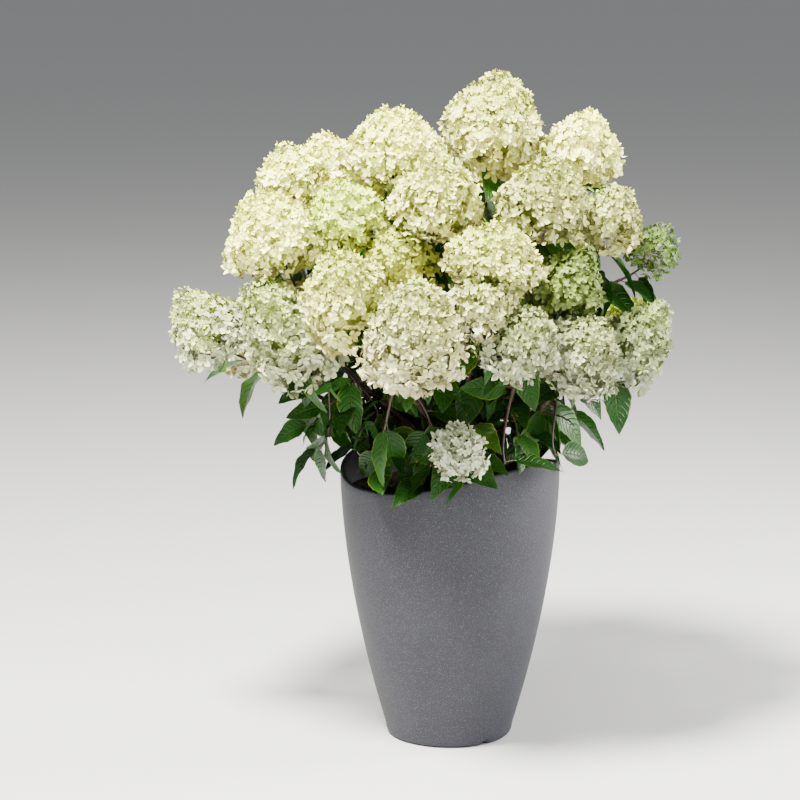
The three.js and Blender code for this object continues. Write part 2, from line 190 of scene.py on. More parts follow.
# The shader group that all finishes share: two tones in soft clouds, and the clouds as a mask
def mottleGroup():
    tree = bpy.data.node_groups.new("mottle", "ShaderNodeTree")
    addSocket(tree, "Color", "INPUT", "NodeSocketColor")
    addSocket(tree, "Other", "INPUT", "NodeSocketColor")
    addSocket(tree, "Scale", "INPUT", "NodeSocketFloat", 40.0)
    addSocket(tree, "Low", "INPUT", "NodeSocketFloat", 0.4)
    addSocket(tree, "High", "INPUT", "NodeSocketFloat", 0.65)
    addSocket(tree, "Color", "OUTPUT", "NodeSocketColor")
    addSocket(tree, "Mask", "OUTPUT", "NodeSocketFloat")
    given = newNode(tree, "NodeGroupInput").outputs
    place = newNode(tree, "ShaderNodeTexCoord").outputs["Object"]
    cloud = newNode(tree, "ShaderNodeTexNoise", {"Vector": place, "Scale": given["Scale"], "Detail": 4})
    mask = rangeNode(tree, cloud.outputs["Fac"], given["Low"], given["High"])
    blend = mixNode(tree, mask, given["Color"], given["Other"])
    newNode(tree, "NodeGroupOutput", {"Color": blend, "Mask": mask})
    return tree


mottle = mottleGroup()


def addMottle(tree, color, other, scale, low=0.4, high=0.65):
    inputs = {"Color": color, "Other": other, "Scale": scale, "Low": low, "High": high}
    return newNode(tree, "ShaderNodeGroup", inputs, node_tree=mottle)


def addBump(tree, surface, height, strength, distance):
    bump = newNode(tree, "ShaderNodeBump", {"Height": height, "Strength": strength, "Distance": distance})
    feed(tree, surface.inputs["Normal"], bump.outputs["Normal"])


# Crown layout: the same heads, sprays and canes as the frame's solids
crown = {
    "middle": Vector((-45, 0, 880)),
    "reach": Vector((500, 425, 465)),
    "headLean": 0.38,
    "hubShare": 0.8,
    "forkStep": 0.15,
    "headFork": 0.95,
    "shootFork": 0.5,
    "stemLength": 55,
    "stemRise": 0.25,
    "stemEnd": 8,
    "bend": 0.36,
    "soilTop": 500,
    "stubHeight": 84,
    "stubLength": 67,
    "feet": [(4, 14, 6), (6, 33, 15), (8, 52, 26)],
    "shootEnds": [(268, 606), (186, 664)],
    "shootSpread": 10,
    "shootRise": 0.35,
    "shootFall": -0.9,
}


# A head: its heading and climb from the crown's middle, its reach, its two sizes and its tint
def head(heading, climb, reach, across, tall, tint="cream"):
    return {"heading": heading, "climb": climb, "reach": reach, "across": across, "tall": tall, "tint": tint}


sprays = [
    {"name": "top", "shoots": 0, "heads": [head(-9, 70, 388, 208, 214, "soft")]},
    {"name": "top_left", "shoots": 0, "heads": [head(-136, 72, 334, 186, 172)]},
    {"name": "upper_left", "shoots": 0, "heads": [
        head(-173, 44, 376, 147, 138), head(-139, 42, 294, 166, 154, "lime"), head(160, 53, 357, 118, 112)]},
    {"name": "left_front", "shoots": 2, "heads": [
        head(-151, 25, 380, 206, 190), head(-145, -1, 344, 170, 286, "mist")]},
    {"name": "far_left", "shoots": 2, "heads": [
        head(-172, -3.5, 449, 150, 172, "mist"), head(158, -11, 396, 156, 150, "ivory")]},
    {"name": "upper_front", "shoots": 0, "heads": [
        head(-87, 46, 331, 180, 190, "soft"), head(-104, 27, 256, 150, 136, "honey")]},
    {"name": "upper_right", "shoots": 0, "heads": [
        head(0, 46, 440, 156, 148), head(-40, 39, 378, 172, 172, "straw")]},
    {"name": "right", "shoots": 0, "heads": [
        head(-17, 27, 414, 130, 138, "straw"), head(1, 14, 466, 112, 112, "green")]},
    {"name": "front", "shoots": 0, "heads": [
        head(-69, 21, 367, 190, 156, "soft"), head(-73, 8, 354, 158, 160, "ivory")]},
    {"name": "front_left", "shoots": 2, "heads": [
        head(-118, 11, 332, 198, 190, "soft"), head(-94, 2, 376, 204, 212, "ivory")]},
    {"name": "front_right", "shoots": 2, "heads": [
        head(-37, 12, 346, 148, 164, "moss"), head(-63, -2, 385, 150, 152, "cool")]},
    {"name": "right_front", "shoots": 2, "heads": [
        head(-40, -7.5, 386, 164, 154, "cool"), head(-15, -7, 430, 142, 204, "sage")]},
    {"name": "low_front", "shoots": 2, "heads": [head(-80, -34, 404, 106, 122, "pearl")]},
    {"name": "right_back", "shoots": 2, "heads": [
        head(30, -8, 398, 164, 168, "ivory"), head(40, 20, 388, 172, 164), head(5, -7, 418, 142, 150, "lime")]},
    {"name": "back_right", "shoots": 2, "heads": [
        head(62, -8, 366, 172, 172, "ivory"), head(76, 22, 376, 170, 168)]},
    {"name": "back_left", "shoots": 2, "heads": [
        head(100, -8, 354, 168, 166, "ivory"), head(114, 21, 366, 176, 168)]},
    {"name": "left_back", "shoots": 2, "heads": [
        head(134, -7, 388, 166, 170, "ivory"), head(147, 22, 386, 168, 164)]},
    {"name": "top_back", "shoots": 0, "heads": [
        head(48, 50, 372, 176, 172), head(103, 55, 356, 172, 170), head(104, 76, 268, 146, 140, "lime")]},
]


def polar(heading, radius, height):
    return Vector((radius * math.cos(heading), radius * math.sin(heading), height))


def headMiddle(spec):
    climb = math.radians(spec["climb"])
    out = polar(math.radians(spec["heading"]), spec["reach"] * math.cos(climb), spec["reach"] * math.sin(climb))
    return crown["middle"] + out


def headAxis(spec):
    lean = math.radians((90 - spec["climb"]) * crown["headLean"])
    return polar(math.radians(spec["heading"]), math.sin(lean), math.cos(lean))


# a spray's stem rises from the hub between its heads, and a cane reaches it from the foot
def layOutSpray(spray):
    bases = [headMiddle(h) - headAxis(h) * (h["tall"] / 2) for h in spray["heads"]]
    mean = sum(bases, Vector()) / len(bases)
    crownFoot = Vector((0, 0, crown["soilTop"] + crown["stubHeight"]))
    hub = crownFoot.lerp(mean, crown["hubShare"])
    rise = (hub - crownFoot).normalized()
    direction = (rise + up * crown["stemRise"]).normalized()
    spray["bases"] = bases
    spray["hub"] = hub
    spray["direction"] = direction
    spray["start"] = hub - direction * crown["stemLength"]
    spray["heading"] = math.atan2(hub.y, hub.x)
    spray["steepness"] = rise.z


# the steepest sprays take the inner ring of feet on the stool
def assignFeet():
    bySteepness = sorted(sprays, key=lambda s: -s["steepness"])
    for count, radius, lean in crown["feet"]:
        ring = sorted(bySteepness[:count], key=lambda s: s["heading"])
        bySteepness = bySteepness[count:]
        step = 2 * math.pi / len(ring)
        drift = sum(s["heading"] - i * step for i, s in enumerate(ring)) / len(ring)
        for i, spray in enumerate(ring):
            heading = drift + i * step
            spray["foot"] = polar(heading, radius, crown["soilTop"] + crown["stubHeight"])
            spray["footDirection"] = polar(heading, math.sin(math.radians(lean)), math.cos(math.radians(lean)))


# a curve as its two ends with two handles between
def sweep(start, startDirection, end, endDirection):
    handle = (end - start).length * crown["bend"]
    return start, start + startDirection * handle, end - endDirection * handle, end


# evenly spaced points on such a curve
def walk(curve, count):
    a, b, c, d = curve
    last = 60
    fine = []
    for i in range(last + 1):
        t = i / last
        s = 1 - t
        fine.append(a * s**3 + b * 3 * s * s * t + c * 3 * s * t * t + d * t**3)
    along = [0.0]
    for p, q in zip(fine, fine[1:]):
        along.append(along[-1] + (q - p).length)
    points = []
    k = 0
    for i in range(count + 1):
        want = along[-1] * i / count
        while k < last - 1 and along[k + 1] < want:
            k += 1
        span = max(along[k + 1] - along[k], 1e-9)
        points.append(fine[k].lerp(fine[k + 1], (want - along[k]) / span))
    return points


for spray in sprays:
    layOutSpray(spray)
assignFeet()
allHeads = [h for spray in sprays for h in spray["heads"]]
print("crown laid out,", len(sprays), "sprays,", len(allHeads), "heads")


# Tubes for the stool, canes, twigs and leaf stalks, with a surface as rough as the knots say
class Tubes:
    knotScale = 0.09
    grainScale = 0.01

    def __init__(self):
        self.corners = []
        self.faces = []
        self.uvs = []

    def add(self, points, radii, sides, knots=0.0):
        base = len(self.corners)
        tangent = (points[1] - points[0]).normalized()
        normal = tangent.orthogonal().normalized()
        length = 0.0
        for i, point in enumerate(points):
            ahead = points[min(i + 1, len(points) - 1)] - points[max(i - 1, 0)]
            turned = ahead.normalized()
            normal = (tangent.rotation_difference(turned) @ normal).normalized()
            tangent = turned
            side = tangent.cross(normal)
            if i:
                length += (point - points[i - 1]).length
            for k in range(sides):
                angle = 2 * math.pi * k / sides
                out = normal * math.cos(angle) + side * math.sin(angle)
                rough = 1 + knots * noise.noise((point + out * radii[i]) * self.knotScale)
                self.corners.append(point + out * radii[i] * rough)
                self.uvs.append((k / sides, length * self.grainScale))
        self.faces += ringFaces(base, len(points), sides)

    def mesh(self, name):
        return makeMesh(name, self.corners, self.faces, self.uvs)


# Canes: a swelling at each old leaf joint
cane = {
    "radius": 6.4,
    "tipRadius": 4.4,
    "knots": 0.12,
    "sides": 12,
    "steps": 46,
    "jointEvery": 58,
    "jointPlace": 0.5,
    "jointWidth": 0.07,
    "jointSwell": 0.2,
    "stubRadius": 9.2,
    "stubTip": 6.8,
    "stubKnots": 0.15,
}
# the woody foot of all canes: heights over the compost with radii
stool = {
    "gap": 0.3,
    "sides": 40,
    "knots": 0.12,
    "rings": [(0, 68), (6, 62), (16, 57), (28, 52), (40, 36), (46, 14)],
}
twig = {"stemRadius": 4.4, "radius": 3.6, "tipRadius": 2.0, "sides": 8, "steps": 20}


def jointedRadii(points, first, last):
    radii = []
    length = 0.0
    for i, point in enumerate(points):
        if i:
            length += (point - points[i - 1]).length
        share = i / (len(points) - 1)
        phase = (length % cane["jointEvery"]) / cane["jointEvery"]
        swell = cane["jointSwell"] * math.exp(-((phase - cane["jointPlace"]) / cane["jointWidth"]) ** 2)
        radii.append((first + (last - first) * share) * (1 + swell))
    return radii


def buildCanes():
    wood = Tubes()
    base = crown["soilTop"] + stool["gap"]
    heights = [Vector((0, 0, base + height)) for height, _ in stool["rings"]]
    wood.add(heights, [radius for _, radius in stool["rings"]], stool["sides"], stool["knots"])
    for spray in sprays:
        foot = spray["foot"]
        root = foot - spray["footDirection"] * crown["stubLength"]
        stub = [root.lerp(foot, i / 8) for i in range(9)]
        stubRadii = jointedRadii(stub, cane["stubRadius"], cane["stubTip"])
        wood.add(stub, stubRadii, cane["sides"], cane["stubKnots"])
        path = walk(sweep(foot, spray["footDirection"], spray["start"], spray["direction"]), cane["steps"])
        spray["canePath"] = path
        wood.add(path, jointedRadii(path, cane["radius"], cane["tipRadius"]), cane["sides"], cane["knots"])
    nodes = ["trunk"] + ["bough_" + s["name"] for s in sprays]
    addPiece("canes", wood.mesh("canes"), barkMaterial(), nodes)


bark = {
    "brown": (0.04, 0.018, 0.013),
    "worn": (0.105, 0.054, 0.03),
    "cracked": (0.02, 0.011, 0.009),
    "grain": (16, 2.2, 1),
    "relief": 0.0015,
}
# a colour and a second one in clouds over it
woodTones = {
    "youngWood": ((0.03, 0.012, 0.008), (0.062, 0.03, 0.013)),
    "leafStalk": ((0.11, 0.038, 0.02), (0.10, 0.13, 0.03)),
    "branchlet": ((0.13, 0.19, 0.05), (0.16, 0.12, 0.06)),
}


def barkMaterial():
    material, tree, surface = newMaterial("bark", 0.72, 0.35)
    brown = addMottle(tree, bark["brown"], bark["worn"], 90, 0.45, 0.72)
    dark = addMottle(tree, brown.outputs["Color"], bark["cracked"], 260, 0.5, 0.7)
    feed(tree, surface.inputs["Base Color"], dark.outputs["Color"])
    # the grain runs along the wood
    place = newNode(tree, "ShaderNodeUVMap", uv_map="UVMap").outputs["UV"]
    stretch = newNode(tree, "ShaderNodeMapping", {"Vector": place, "Scale": bark["grain"]}).outputs["Vector"]
    grain = newNode(tree, "ShaderNodeTexNoise", {"Vector": stretch, "Scale": 1.0, "Detail": 6})
    addBump(tree, surface, grain.outputs["Fac"], 0.6, bark["relief"])
    return material


def twigMaterial(name):
    material, tree, surface = newMaterial(name, 0.5)
    tone = addMottle(tree, *woodTones[name], 120)
    feed(tree, surface.inputs["Base Color"], tone.outputs["Color"])
    addBump(tree, surface, tone.outputs["Mask"], 0.3, 0.0006)
    return material


# Leaves
leaf = {
    "length": 104,
    "width": 57,
    "stalk": 17,
    "stalkRadii": (1.5, 1.2, 0.9),
    "stalkSides": 5,
    "stalkRise": 0.25,
    "sag": 0.12,
    "stations": 12,
    "across": (-1.0, -0.52, 0.0, 0.52, 1.0),
    "broadest": 0.74,
    "fullness": 0.86,
    "tooth": 0.05,
    "waves": 17,
    "baseCurve": 0.03,
    "shapes": [
        {"fold": 0.05, "droop": 0.22, "wave": 0.012},
        {"fold": 0.08, "droop": 0.40, "wave": 0.020},
        {"fold": 0.03, "droop": 0.12, "wave": 0.015},
        {"fold": 0.11, "droop": 0.30, "wave": 0.008},
    ],
}


def leafHalfWidth(share):
    body = math.sin(math.pi * share ** leaf["broadest"]) ** leaf["fullness"]
    return 0.5 * leaf["width"] / leaf["length"] * body


def leafMesh(name, shape):
    corners = []
    uvs = []
    columns = len(leaf["across"])
    for i in range(leaf["stations"] + 1):
        share = i / leaf["stations"]
        half = leafHalfWidth(share)
        for u in leaf["across"]:
            edge = abs(u)
            tooth = leaf["tooth"] * (i % 2) * half if edge == 1 else 0
            ripple = shape["wave"] * math.sin(share * leaf["waves"] + u) * edge
            x = share - leaf["baseCurve"] * edge * math.sin(math.pi * share)
            y = math.copysign(half * edge + tooth, u) if u else 0
            z = shape["fold"] * edge * math.sin(math.pi * share) - shape["droop"] * share**2 + ripple
            corners.append((x * leaf["length"], y * leaf["length"], z * leaf["length"]))
            uvs.append((0.5 + 0.5 * u, share))
    faces = []
    for i in range(leaf["stations"]):
        for k in range(columns - 1):
            a = i * columns + k
            faces.append((a, a + columns, a + columns + 1, a + 1))
    return makeMesh(name, corners, faces, uvs)


# Veins leave the midrib and curve toward the tip, and a thin yellower line follows the margin
veins = {
    "count": 8.5,
    "curve": 0.26,
    "bend": 1.4,
    "sideEdge": 0.36,
    "midribEdge": 0.075,
    "midribCore": 0.02,
    "strength": 0.38,
    "marginStart": 0.89,
    "marginFull": 0.98,
    "marginStrength": 0.8,
    "relief": 0.0026,
}


def leafMaterial(name, color, young, edge):
    material, tree, surface = newMaterial(name, 0.42, 0.22)
    blade = addMottle(tree, color, young, 16, 0.42, 0.7)
    uv = splitUv(tree)
    off = mathNode(tree, "ABSOLUTE", mathNode(tree, "SUBTRACT", uv["X"], 0.5))
    side = mathNode(tree, "MULTIPLY", off, 2.0)
    curve = mathNode(tree, "MULTIPLY", mathNode(tree, "POWER", side, veins["bend"]), veins["curve"])
    run = mathNode(tree, "MULTIPLY", mathNode(tree, "SUBTRACT", uv["Y"], curve), veins["count"])
    cell = mathNode(tree, "ABSOLUTE", mathNode(tree, "SUBTRACT", mathNode(tree, "FRACT", run), 0.5))
    sideVein = rangeNode(tree, cell, veins["sideEdge"], 0.5)
    midrib = rangeNode(tree, side, veins["midribEdge"], veins["midribCore"])
    vein = mathNode(tree, "MAXIMUM", sideVein, midrib)
    veined = mixNode(tree, mathNode(tree, "MULTIPLY", vein, veins["strength"]), blade.outputs["Color"], edge)
    margin = rangeNode(tree, side, veins["marginStart"], veins["marginFull"], 0.0, veins["marginStrength"])
    rimmed = mixNode(tree, margin, veined, (edge[0] * 2.3, edge[1] * 1.7, edge[2] * 2))
    # the underside is paler and duller
    underside = (color[0] * 2 + 0.008, color[1] * 1.6 + 0.018, color[2] * 2 + 0.003)
    back = newNode(tree, "ShaderNodeNewGeometry").outputs["Backfacing"]
    feed(tree, surface.inputs["Base Color"], mixNode(tree, back, rimmed, underside))
    addBump(tree, surface, mathNode(tree, "SUBTRACT", 1.0, vein), 0.8, veins["relief"])
    return material


# Leaf places: where each leaf's blade begins, how it is turned and how large it is
foliage = {
    "seed": 500,
    "headPairs": (0.25, 0.5, 0.72),
    "shootPairs": (0.24, 0.40, 0.56, 0.72, 0.86, 0.98),
    "sidePairs": (0.5, 0.98),
    "intoHead": 0.3,
    "caneTwigs": (0.34, 0.46, 0.58, 0.7, 0.82, 0.94),
    "caneTwigLength": 95,
    "caneTwigVary": (0.7, 1.2),
    "caneTwigRadii": (2.4, 1.4),
    "forward": 0.3,
    "outward": 0.55,
    "pitch": (2, 74),
    "faceUp": 0.6,
    "faceOut": 0.7,
    "size": (0.74, 1.1),
    "lowSize": 0.95,
    "roll": 1.5,
    "wander": 0.9,
    "rimPairs": (0.5, 0.76, 0.98),
    "rimSpread": (-22, -4, 14),
    "rimStart": 0.3,
    "rimStep": 0.12,
    "rimRadius": 196,
    "rimRoom": 46,
    "rimRise": 0.4,
    "rimFall": -0.55,
    "rimSlimness": 0.7,
    "margin": 6,
    "buried": 0.86,
    "thinBelow": 735,
    "thinBeyond": 205,
    "thinKeep": 0.3,
    "openCanes": ("left_front", "right_front"),
    "openFrom": 12,
    "openRoom": 13,
}
# the planter's rim: size, wall and how its height waves round the plant
rim = {"radius": 220, "wall": 9, "height": 556, "wave": 21, "tilt": 7}


def rimLift(heading):
    return rim["tilt"] * math.cos(heading) - rim["wave"] * math.sin(2 * heading)


def meetsPlanter(point):
    out = math.hypot(point.x, point.y)
    top = rim["height"] + rimLift(math.atan2(point.y, point.x)) + foliage["margin"]
    if point.z > top:
        return False
    within = rim["radius"] - rim["wall"] - foliage["margin"]
    if out > rim["radius"] + foliage["margin"]:
        return False
    return out > within or point.z < crown["soilTop"] + foliage["margin"]


def insideHead(point, share):
    for spec in allHeads:
        away = point - headMiddle(spec)
        if away.length < share * min(spec["across"], spec["tall"]) / 2:
            return True
    return False


def insideCrown(point):
    away = point - crown["middle"]
    reach = crown["reach"]
    return (away.x / reach.x) ** 2 + (away.y / reach.y) ** 2 + (away.z / reach.z) ** 2 <= 1


def leafTurn(root, direction, roll):
    outward = Vector((root.x, root.y, 0)).normalized()
    lit = up * foliage["faceUp"] + outward * foliage["faceOut"]
    lit = Quaternion(direction, roll) @ lit
    side = lit.cross(direction).normalized()
    face = direction.cross(side)
    return Matrix((direction, side, face)).transposed().to_euler("XYZ")


# the canes that the front shows bare: no leaf hangs before them
def hidesCane(point):
    for spray in sprays:
        if spray["name"] in foliage["openCanes"]:
            for place in spray["canePath"][foliage["openFrom"]:]:
                if point.y < place.y and math.hypot(point.x - place.x, point.z - place.z) < foliage["openRoom"]:
                    return True
    return False


# Leaves, their stalks and the twigs that carry them, gathered while the shrub grows
class Foliage:
    def __init__(self):
        self.stalks = Tubes()
        self.twigs = Tubes()
        self.leaves = []

    def addLeaf(self, root, direction, size, roll, rng):
        start = root + (direction + up * leaf["stalkRise"]).normalized() * leaf["stalk"] * size
        length = leaf["length"] * size
        sag = up * length * leaf["sag"]
        samples = [start + direction * length * s - sag * s * s for s in (0.3, 0.6, 0.85, 1.0)]
        side = direction.cross(up).normalized() * leaf["width"] * size * 0.45
        samples += [samples[0] + side, samples[0] - side, samples[1] + side, samples[1] - side]
        if any(meetsPlanter(p) for p in samples) or not insideCrown(samples[3]):
            return
        if insideHead(samples[1], foliage["buried"]) and insideHead(samples[3], foliage["buried"]):
            return
        if any(hidesCane(p) for p in samples[:4]):
            return
        beyond = math.hypot(samples[3].x, samples[3].y) > foliage["thinBeyond"]
        if beyond and samples[3].z < foliage["thinBelow"] and rng.random() > foliage["thinKeep"]:
            return
        stalk = [root, root.lerp(start, 0.5) + up * size, start + direction * 6 * size]
        self.stalks.add(stalk, [radius * size for radius in leaf["stalkRadii"]], leaf["stalkSides"])
        shape = rng.randrange(len(leaf["shapes"]))
        self.leaves.append((start, leafTurn(start, direction, roll), size, shape))

    def addPairs(self, path, shares, rng, size=1.0):
        for pairIndex, share in enumerate(shares):
            k = min(int(share * (len(path) - 1)), len(path) - 2)
            point = path[k].lerp(path[k + 1], share * (len(path) - 1) - k)
            along = (path[k + 1] - path[k]).normalized()
            level = along.cross(up)
            level = level.normalized() if level.length > 1e-3 else Vector((1, 0, 0))
            turn = pairIndex * math.pi / 2 + (rng.random() - 0.5) * foliage["wander"]
            for sign in (1, -1):
                away = Vector((point.x, point.y, 0)).normalized()
                outward = (Quaternion(along, turn) @ level) * sign + along * foliage["forward"]
                outward += away * foliage["outward"]
                pitch = math.radians(rng.uniform(*foliage["pitch"]))
                direction = polar(math.atan2(outward.y, outward.x), math.cos(pitch), -math.sin(pitch))
                scale = size * rng.uniform(*foliage["size"])
                self.addLeaf(point, direction.normalized(), scale, (rng.random() - 0.5) * foliage["roll"], rng)


def addTwig(green, path, thickness=1.0, tipThickness=1.0):
    radii = jointedRadii(path, twig["radius"] * thickness, twig["tipRadius"] * tipThickness)
    green.twigs.add(path, radii, twig["sides"])


def growFoliage():
    green = Foliage()
    for index, spray in enumerate(sprays):
        rng = random.Random(foliage["seed"] + index)
        stemEnd = spray["hub"] + spray["direction"] * crown["stemEnd"]
        stem = [spray["start"].lerp(stemEnd, i / 8) for i in range(9)]
        green.twigs.add(stem, jointedRadii(stem, twig["stemRadius"], twig["radius"]), twig["sides"])
        for i, spec in enumerate(spray["heads"]):
            root = spray["start"].lerp(spray["hub"], crown["headFork"] - i * crown["forkStep"])
            end = spray["bases"][i] + headAxis(spec) * spec["tall"] * foliage["intoHead"]
            outward = ((end - root).normalized() + spray["direction"]).normalized()
            path = walk(sweep(root, outward, end, headAxis(spec)), twig["steps"])
            addTwig(green, path)
            green.addPairs(path, foliage["headPairs"], rng)
        for i in range(spray["shoots"]):
            growLowShoot(green, spray, i, rng)
        if spray["shoots"]:
            growRimShoots(green, spray, rng)
        growSideTwigs(green, spray, rng)
    return green


# A leafy shoot that arches out of a low spray and droops
def growLowShoot(green, spray, i, rng):
    offset = (i - (spray["shoots"] - 1) / 2) * 2 * crown["shootSpread"]
    heading = spray["heading"] + math.radians(offset)
    end = polar(heading, *crown["shootEnds"][i % 2])
    outward = polar(heading, 1, crown["shootRise"]).normalized()
    fall = polar(heading, 1, crown["shootFall"]).normalized()
    root = spray["start"].lerp(spray["hub"], crown["shootFork"] - i * crown["forkStep"])
    path = walk(sweep(root, outward, end, fall), twig["steps"])
    addTwig(green, path, 0.9, 0.8)
    green.addPairs(path, foliage["shootPairs"], rng)


# Low shoots that reach the planter's lip, so their leaves hang over it
def growRimShoots(green, spray, rng):
    for i, offset in enumerate(foliage["rimSpread"]):
        heading = spray["heading"] + math.radians(offset)
        end = polar(heading, foliage["rimRadius"], rim["height"] + rimLift(heading) + foliage["rimRoom"])
        share = foliage["rimStart"] + foliage["rimStep"] * i
        root = spray["canePath"][int(share * (len(spray["canePath"]) - 1))]
        outward = polar(heading, 1, foliage["rimRise"]).normalized()
        fall = polar(heading, 1, foliage["rimFall"]).normalized()
        path = walk(sweep(root, outward, end, fall), twig["steps"])
        addTwig(green, path, foliage["rimSlimness"], foliage["rimSlimness"])
        green.addPairs(path, foliage["rimPairs"], rng, foliage["lowSize"])


# Short side twigs along each cane carry the leaves that fill the crown's inside
def growSideTwigs(green, spray, rng):
    path = spray["canePath"]
    thick, thin = foliage["caneTwigRadii"]
    for share in foliage["caneTwigs"]:
        k = int(share * (len(path) - 1))
        along = (path[k + 1] - path[k]).normalized()
        outward = Quaternion(along, rng.uniform(0, 2 * math.pi)) @ along.orthogonal().normalized()
        length = foliage["caneTwigLength"] * rng.uniform(*foliage["caneTwigVary"])
        end = path[k] + (outward + along * 0.9).normalized() * length
        if meetsPlanter(end) or not insideCrown(end):
            continue
        side = walk(sweep(path[k], (outward + along).normalized(), end, (outward + up * 0.2).normalized()), 8)
        green.twigs.add(side, [thick + (thin - thick) * i / 8 for i in range(9)], 6)
        green.addPairs(side, foliage["sidePairs"], rng, foliage["lowSize"])


# Geometry Nodes: values that a tree reads from its points, and shapes placed on them
def readValue(tree, name, kind="FLOAT"):
    return newNode(tree, "GeometryNodeInputNamedAttribute", {"Name": name}, data_type=kind).outputs["Attribute"]


def randomValue(tree, low, high, seed, kind="FLOAT"):
    inputs = {"Min": low, "Max": high, "Seed": seed}
    return newNode(tree, "FunctionNodeRandomValue", inputs, data_type=kind).outputs["Value"]


def placeShapes(tree, given, sources, inputs):
    shapes = newNode(tree, "GeometryNodeGeometryToInstance")
    for source in reversed(sources):
        info = newNode(tree, "GeometryNodeObjectInfo", {"Object": source})
        tree.links.new(info.outputs["Geometry"], shapes.inputs["Geometry"])
    inputs = {"Instance": shapes.outputs["Instances"], "Pick Instance": True, **inputs}
    placed = newNode(tree, "GeometryNodeInstanceOnPoints", inputs).outputs["Instances"]
    solid = newNode(tree, "GeometryNodeRealizeInstances", {"Geometry": placed}).outputs["Geometry"]
    paint = newNode(tree, "GeometryNodeSetMaterial", {"Geometry": solid, "Material": given["Material"]})
    newNode(tree, "NodeGroupOutput", {"Geometry": paint.outputs["Geometry"]})


# one leaf shape on each marked point, turned and scaled by the point's own values
def leafTree(sources):
    tree = bpy.data.node_groups.new("leavesOnPoints", "GeometryNodeTree")
    addSocket(tree, "Geometry", "INPUT", "NodeSocketGeometry")
    addSocket(tree, "Leaf Scale", "INPUT", "NodeSocketFloat", 1.0)
    addSocket(tree, "Material", "INPUT", "NodeSocketMaterial")
    addSocket(tree, "Geometry", "OUTPUT", "NodeSocketGeometry")
    given = newNode(tree, "NodeGroupInput").outputs
    turn = readValue(tree, "turn", "FLOAT_VECTOR")
    placeShapes(tree, given, sources, {
        "Points": given["Geometry"],
        "Instance Index": readValue(tree, "shape", "INT"),
        "Rotation": newNode(tree, "FunctionNodeEulerToRotation", {"Euler": turn}).outputs["Rotation"],
        "Scale": mathNode(tree, "MULTIPLY", readValue(tree, "size"), given["Leaf Scale"]),
    })
    return tree


# Runs a tree on a mesh and returns what it grows as a plain mesh
def grow(name, seedMesh, tree, values):
    holder = bpy.data.objects.new(name + "Seed", seedMesh)
    bpy.context.collection.objects.link(holder)
    modifier = holder.modifiers.new("grow", "NODES")
    modifier.node_group = tree
    for item in tree.interface.items_tree:
        if item.in_out == "INPUT" and item.name in values:
            modifier[item.identifier] = values[item.name]
    evaluated = holder.evaluated_get(bpy.context.evaluated_depsgraph_get())
    mesh = bpy.data.meshes.new_from_object(evaluated)
    mesh.name = name
    holder.modifiers.remove(modifier)
    bpy.data.objects.remove(holder)
    return mesh


def hiddenSources(meshes):
    made = []
    for mesh in meshes:
        source = bpy.data.objects.new(mesh.name, mesh)
        bpy.context.collection.objects.link(source)
        made.append(source)
    return made


def removeSources(sources):
    for source in sources:
        bpy.data.objects.remove(source)


leafTones = [
    {
        "name": "leavesDark", "often": 5, "lowOften": 5,
        "color": (0.0045, 0.043, 0.0008), "young": (0.01, 0.065, 0.002), "edge": (0.045, 0.095, 0.006),
    },
    {
        "name": "leavesMid", "often": 4, "lowOften": 4,
        "color": (0.0075, 0.062, 0.0012), "young": (0.017, 0.092, 0.0035), "edge": (0.07, 0.13, 0.01),
    },
    {
        "name": "leavesYoung", "often": 1.6, "lowOften": 0.7,
        "color": (0.018, 0.066, 0.004), "young": (0.045, 0.12, 0.008), "edge": (0.15, 0.22, 0.02),
    },
]
leafDeal = {"seed": 77, "lowBelow": 720}


def pointMesh(name, leaves):
    mesh = bpy.data.meshes.new(name)
    mesh.from_pydata([tuple(root * metre) for root, _, _, _ in leaves], [], [])
    for key, kind in (("turn", "FLOAT_VECTOR"), ("size", "FLOAT"), ("shape", "INT")):
        mesh.attributes.new(key, kind, "POINT")
    for i, (_, euler, scale, kind) in enumerate(leaves):
        mesh.attributes["turn"].data[i].vector = tuple(euler)
        mesh.attributes["size"].data[i].value = scale
        mesh.attributes["shape"].data[i].value = kind
    return mesh


def buildLeaves(green):
    sources = hiddenSources([leafMesh(f"leafShape{i}", s) for i, s in enumerate(leaf["shapes"])])
    tree = leafTree(sources)
    rng = random.Random(leafDeal["seed"])
    dealt = {tone["name"]: [] for tone in leafTones}
    for item in green.leaves:
        often = "lowOften" if item[0].z < leafDeal["lowBelow"] else "often"
        pick = rng.choices(leafTones, [tone[often] for tone in leafTones])[0]
        dealt[pick["name"]].append(item)
    masses = ["mass_" + s["name"] for s in sprays]
    for tone in leafTones:
        material = leafMaterial(tone["name"], tone["color"], tone["young"], tone["edge"])
        seeds = pointMesh(tone["name"] + "Points", dealt[tone["name"]])
        mesh = grow(tone["name"], seeds, tree, {"Leaf Scale": 1.0, "Material": material})
        addPiece(tone["name"], mesh, material, masses)
        print(tone["name"], len(dealt[tone["name"]]), "leaves")
    removeSources(sources)
    for name, tubes, wood in (("twigs", green.twigs, "youngWood"), ("leafStalks", green.stalks, "leafStalk")):
        addPiece(name, tubes.mesh(name), twigMaterial(wood), masses)


